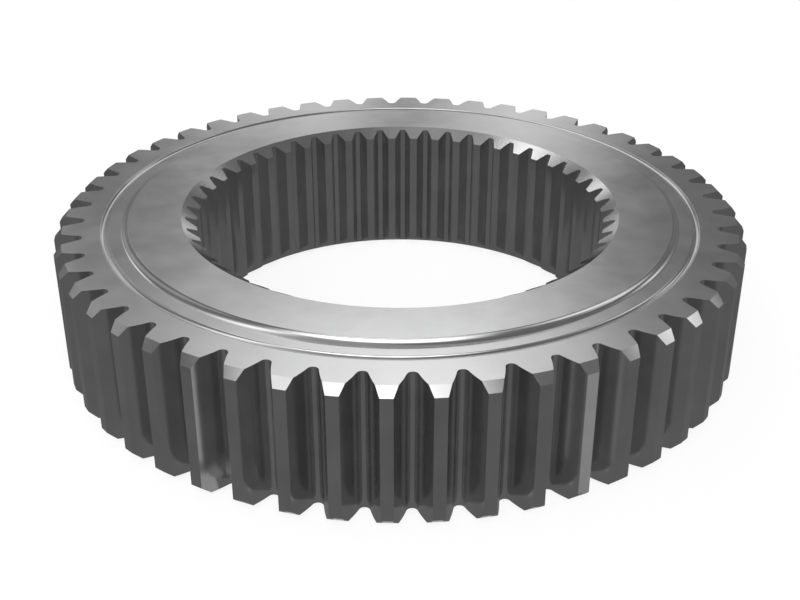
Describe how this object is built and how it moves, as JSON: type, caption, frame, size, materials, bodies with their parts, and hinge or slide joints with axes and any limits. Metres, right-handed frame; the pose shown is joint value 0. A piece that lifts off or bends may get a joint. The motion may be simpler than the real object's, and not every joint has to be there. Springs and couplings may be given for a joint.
{
  "type": "sun gear",
  "caption": "Sun gear for a planetary drive: a thick steel ring with straight outer teeth, a splined bore with chamfered mouths, and a raised hub face inside a turned groove on each side.",
  "frame": {"origin": "on the gear's axis, at the lower hub face on which it lies", "axes": "+Z along the gear's axis, from the lower hub face to the upper one; a tooth is centred on +X"},
  "size_m": [0.265, 0.2648, 0.0564],
  "materials": {
    "gear_steel": "ground bright steel"
  },
  "bodies": {
    "root": {"sun_gear": "gear_steel"}
  },
  "joints": []
}
